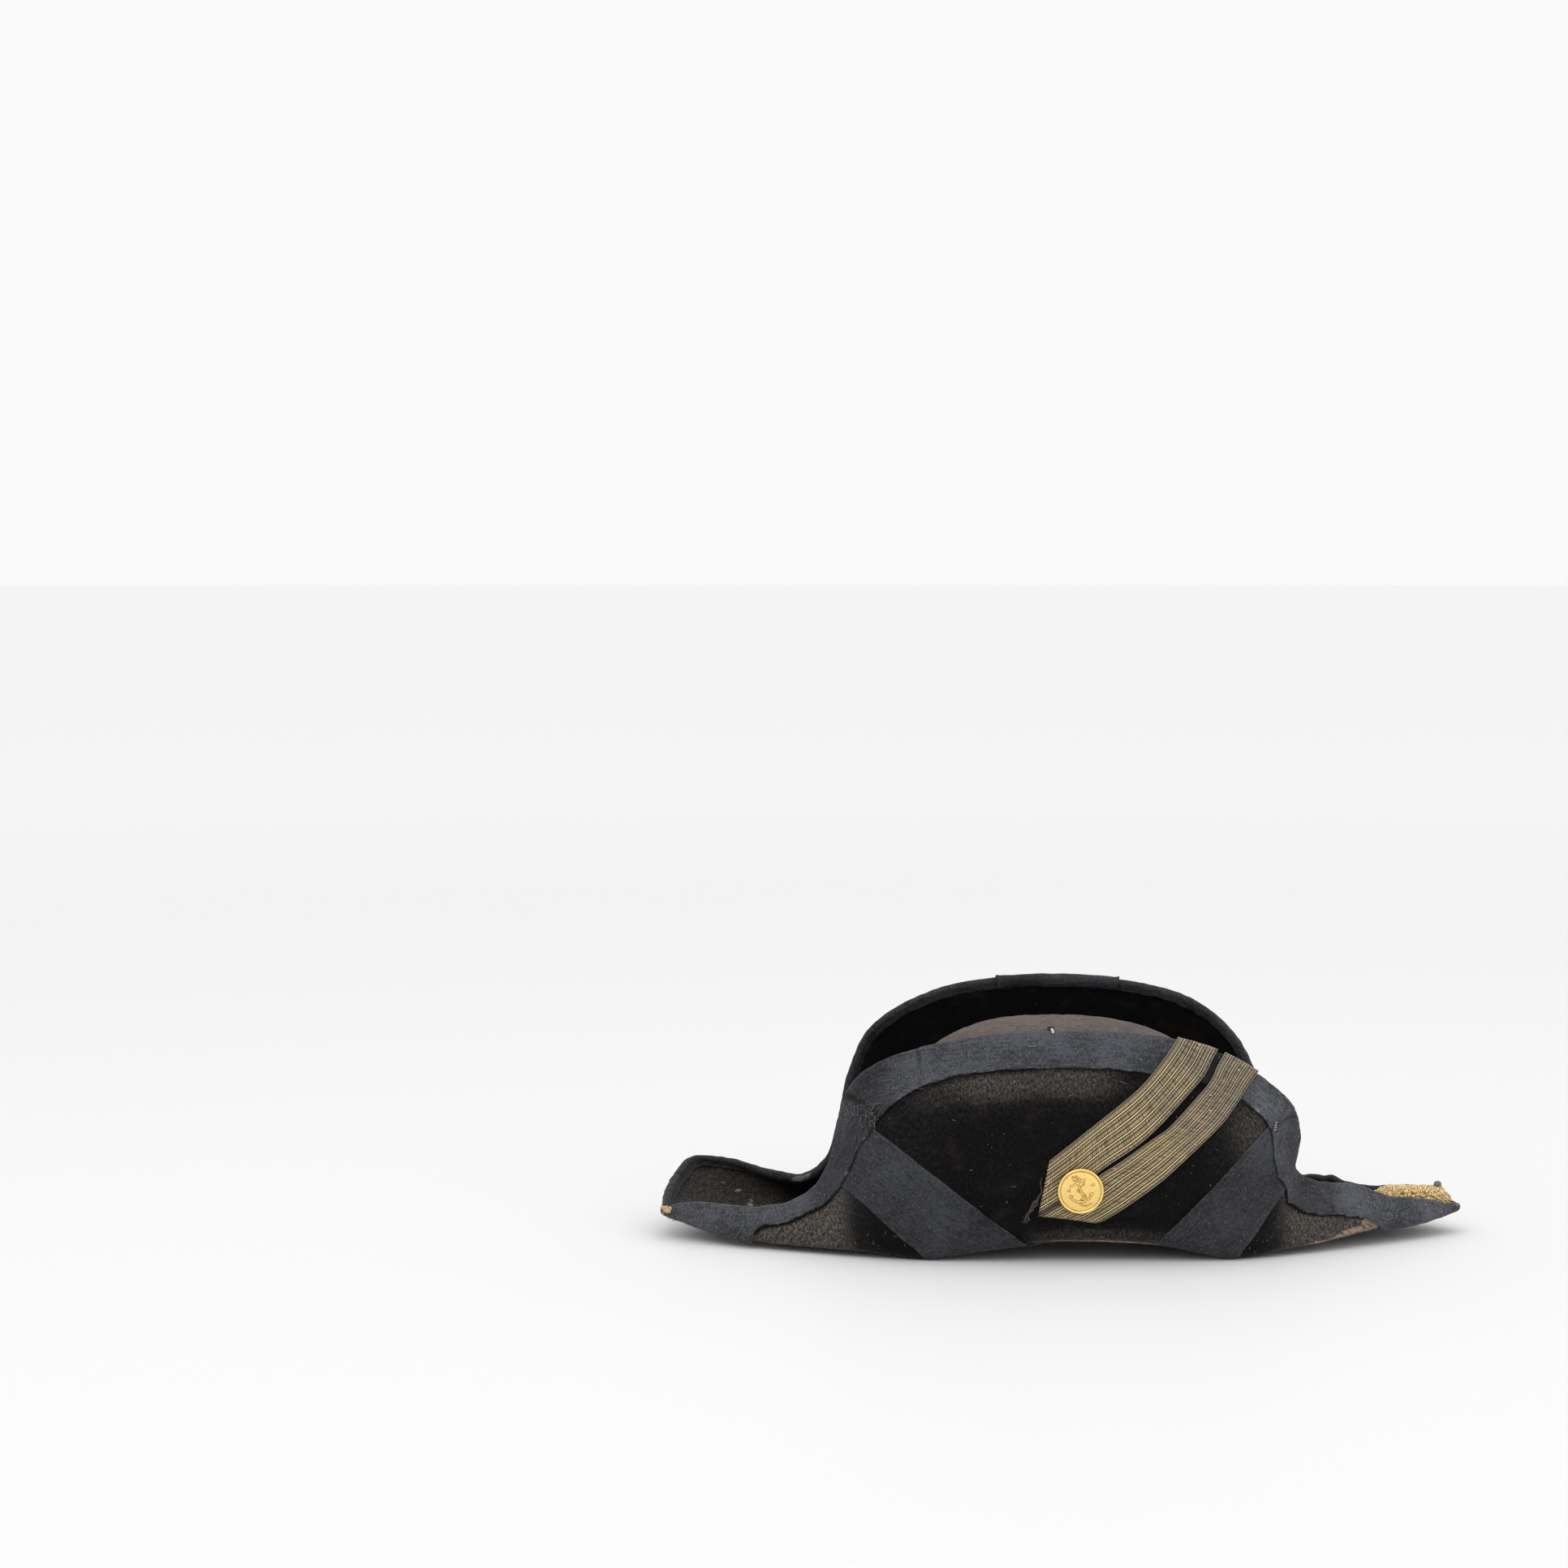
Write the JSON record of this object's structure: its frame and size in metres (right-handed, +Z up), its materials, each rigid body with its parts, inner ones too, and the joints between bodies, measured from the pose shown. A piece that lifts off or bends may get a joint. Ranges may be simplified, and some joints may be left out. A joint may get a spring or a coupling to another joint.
{
  "type": "bicorne hat",
  "caption": "Naval cocked hat with a felt crown, two upturned flaps running out into a front and a rear peak, ribbon binding, gold lace loop and gilt button.",
  "frame": {"origin": "on the surface that the hat rests on, below the middle of its bounding box", "axes": "+X towards the front peak, +Y towards the wearer's left (the higher flap), +Z up"},
  "size_m": [0.4278, 0.2068, 0.1287],
  "materials": {
    "plush": "brown-black beaver plush, worn",
    "crown_felt": "warm grey-brown brushed felt",
    "ribbon": "blue-black ribbed ribbon",
    "gold_lace": "tarnished gold lace",
    "gilt": "bright gilt",
    "bullion": "fine gilt wire, matt"
  },
  "bodies": {
    "root": {"brim": "plush", "crown": "crown_felt", "edge_binding": "ribbon", "binding_overlap": "ribbon", "front_slant_ribbon": "ribbon", "rear_slant_ribbon": "ribbon", "lace_loop": "gold_lace", "button": "gilt", "front_tassel": "bullion", "rear_tassel": "bullion"}
  },
  "joints": []
}
